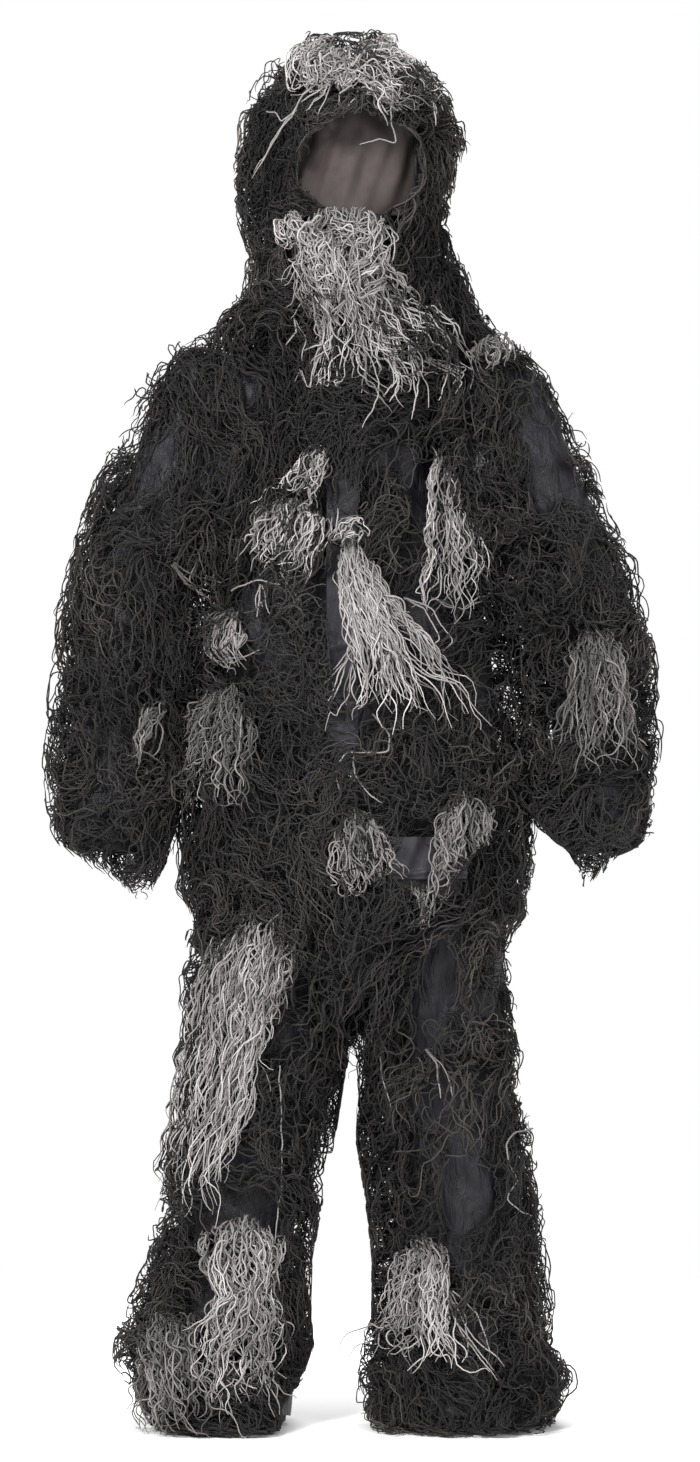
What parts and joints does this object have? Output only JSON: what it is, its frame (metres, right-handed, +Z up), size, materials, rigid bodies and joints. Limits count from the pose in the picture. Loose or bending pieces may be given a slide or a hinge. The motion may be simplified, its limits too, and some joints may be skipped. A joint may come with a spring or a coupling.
{
  "type": "ghillie suit",
  "caption": "Hooded camouflage jacket and trousers covered in tied yarn, with sheer face veil, face flap, storm-flapped zip, hinged sleeves and legs.",
  "frame": {"origin": "on the floor between the feet, at the middle of the worn suit's box", "axes": "+Z up, -Y towards the front, +X towards the wearer's left"},
  "size_m": [0.8274, 0.3609, 1.851],
  "materials": {
    "dark_cloth": "thin woven polyester, slightly shiny",
    "dark_yarn": "matted synthetic yarn",
    "light_yarn": "light grey synthetic yarn",
    "flap_cloth": "smooth woven polyester",
    "veil_mesh": "sheer mesh",
    "elastic": "covered elastic",
    "zip_tape": "moulded coil on woven tape",
    "snap_metal": "nickel plated"
  },
  "bodies": {
    "torso": {"jacket_back": "dark_cloth", "jacket_front_left": "dark_cloth", "jacket_front_right": "dark_cloth", "jacket_yarn_back": "dark_yarn", "jacket_yarn_front_left": "dark_yarn", "jacket_yarn_front_right": "dark_yarn", "neck_band": "elastic", "zip_tape_left": "zip_tape", "zip_tape_right": "zip_tape", "snap_stud_1": "snap_metal", "snap_stud_2": "snap_metal", "snap_stud_3": "snap_metal", "pocket_left": "dark_cloth", "trouser_seat": "dark_cloth", "waistband": "elastic", "tuft_chest_right": "light_yarn", "tuft_chest_left": "light_yarn", "tuft_centre": "light_yarn"},
    "zip_slider": {"zip_slider": "snap_metal"},
    "zip_pull": {"zip_pull": "snap_metal"},
    "storm_flap": {"storm_flap": "flap_cloth", "snap_cap_1": "snap_metal", "snap_cap_2": "snap_metal", "snap_cap_3": "snap_metal"},
    "pocket_flap": {"pocket_flap_left": "flap_cloth"},
    "hood": {"hood_left": "dark_cloth", "hood_right": "dark_cloth", "hood_crown": "dark_cloth", "hood_yarn_left": "dark_yarn", "hood_yarn_right": "dark_yarn", "hood_yarn_crown": "dark_yarn", "hood_brim": "dark_yarn", "face_veil": "veil_mesh", "tuft_hood": "light_yarn"},
    "face_flap": {"face_flap": "dark_cloth", "face_flap_yarn": "light_yarn"},
    "sleeve_left": {"sleeve_left": "dark_cloth", "sleeve_yarn_left": "dark_yarn"},
    "sleeve_right": {"sleeve_right": "dark_cloth", "sleeve_yarn_right": "dark_yarn"},
    "forearm_left": {"forearm_left": "dark_cloth", "forearm_yarn_left": "dark_yarn", "cuff_elastic_left": "elastic", "tuft_forearm_left": "light_yarn"},
    "forearm_right": {"forearm_right": "dark_cloth", "forearm_yarn_right": "dark_yarn", "cuff_elastic_right": "elastic"},
    "thigh_left": {"thigh_left": "dark_cloth", "thigh_yarn_left": "dark_yarn"},
    "thigh_right": {"thigh_right": "dark_cloth", "thigh_yarn_right": "dark_yarn", "tuft_thigh_right": "light_yarn"},
    "shin_left": {"shin_left": "dark_cloth", "shin_yarn_left": "dark_yarn", "hem_elastic_left": "elastic", "tuft_shin_left": "light_yarn"},
    "shin_right": {"shin_right": "dark_cloth", "shin_yarn_right": "dark_yarn", "hem_elastic_right": "elastic", "tuft_shin_right": "light_yarn"}
  },
  "joints": [
    {"name": "hood_push_back", "type": "hinge", "parent": "torso", "child": "hood", "pos_m": [0, 0.157, 1.503], "axis": [-1, 0, 0], "range_deg": [0, 75]},
    {"name": "face_flap_lift", "type": "hinge", "parent": "hood", "child": "face_flap", "pos_m": [0, -0.1088, 1.607], "axis": [-1, 0, 0], "range_deg": [0, 90]},
    {"name": "zip_slide", "type": "slide", "parent": "torso", "child": "zip_slider", "axis": [0, 0, -1], "range_m": [0, 0.62]},
    {"name": "zip_pull_swing", "type": "hinge", "parent": "zip_slider", "child": "zip_pull", "pos_m": [-0.018, -0.1169, 1.397], "axis": [-1, 0, 0], "range_deg": [0, 38]},
    {"name": "storm_flap_open", "type": "hinge", "parent": "torso", "child": "storm_flap", "pos_m": [-0.036, -0.1266, 1.0485], "axis": [0, 0, -1], "range_deg": [0, 85]},
    {"name": "pocket_flap_lift", "type": "hinge", "parent": "torso", "child": "pocket_flap", "pos_m": [0.09896, -0.11954, 0.784], "axis": [-0.9661, -0.2583, 0], "range_deg": [0, 100]},
    {"name": "sleeve_left_raise", "type": "hinge", "parent": "torso", "child": "sleeve_left", "pos_m": [0.205, 0.005, 1.365], "axis": [0, -1, 0], "range_deg": [0, 75]},
    {"name": "sleeve_right_raise", "type": "hinge", "parent": "torso", "child": "sleeve_right", "pos_m": [-0.205, 0.005, 1.365], "axis": [0, 1, 0], "range_deg": [0, 75]},
    {"name": "elbow_left_bend", "type": "hinge", "parent": "sleeve_left", "child": "forearm_left", "pos_m": [0.30411, 0.005, 1.09992], "axis": [-0.9753, 0, -0.2207], "range_deg": [0, 75]},
    {"name": "elbow_right_bend", "type": "hinge", "parent": "sleeve_right", "child": "forearm_right", "pos_m": [-0.30411, 0.005, 1.09992], "axis": [-0.9753, 0, 0.2207], "range_deg": [0, 75]},
    {"name": "hip_left_bend", "type": "hinge", "parent": "torso", "child": "thigh_left", "pos_m": [0.119, 0.02, 0.92], "axis": [-1, 0, 0], "range_deg": [0, 90]},
    {"name": "hip_right_bend", "type": "hinge", "parent": "torso", "child": "thigh_right", "pos_m": [-0.119, 0.02, 0.92], "axis": [-1, 0, 0], "range_deg": [0, 90]},
    {"name": "knee_left_bend", "type": "hinge", "parent": "thigh_left", "child": "shin_left", "pos_m": [0.119, -0.02, 0.48], "axis": [1, 0, 0], "range_deg": [0, 70]},
    {"name": "knee_right_bend", "type": "hinge", "parent": "thigh_right", "child": "shin_right", "pos_m": [-0.119, -0.02, 0.48], "axis": [1, 0, 0], "range_deg": [0, 70]}
  ]
}
